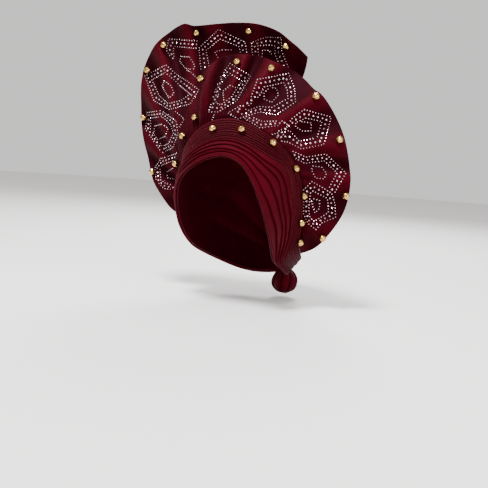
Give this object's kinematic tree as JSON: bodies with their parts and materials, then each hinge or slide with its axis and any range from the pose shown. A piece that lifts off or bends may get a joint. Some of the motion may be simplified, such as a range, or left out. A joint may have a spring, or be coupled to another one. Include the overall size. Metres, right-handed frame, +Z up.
{
  "type": "tied gele head tie",
  "caption": "Head wrap tied in its worn form: pleated brow band, fine pleats, a tall fan in two overlapping lobes with beads along its edge, and a knot at the nape.",
  "frame": {"origin": "inside of the cap at the crown, where the head carries the wrap", "axes": "+Z up, the wearer faces -Y, the wearer's left is +X"},
  "size_m": [0.294, 0.1915, 0.3514],
  "materials": {
    "wine_cloth": "stiff woven cloth with a soft sheen",
    "gold": "polished gold-coloured beads"
  },
  "bodies": {
    "root": {"crown_wrap": "wine_cloth", "brow_band": "wine_cloth", "fine_pleats": "wine_cloth", "fan_back": "wine_cloth", "fan_front": "wine_cloth", "nape_knot": "wine_cloth", "bead_01": "gold", "bead_02": "gold", "bead_03": "gold", "bead_04": "gold", "bead_05": "gold", "bead_06": "gold", "bead_07": "gold", "bead_08": "gold", "bead_09": "gold", "bead_10": "gold", "bead_11": "gold", "bead_12": "gold", "bead_13": "gold", "bead_14": "gold", "bead_15": "gold", "bead_16": "gold", "bead_17": "gold", "bead_18": "gold", "bead_19": "gold", "bead_20": "gold", "bead_21": "gold", "bead_22": "gold", "bead_23": "gold", "bead_24": "gold"}
  },
  "joints": []
}
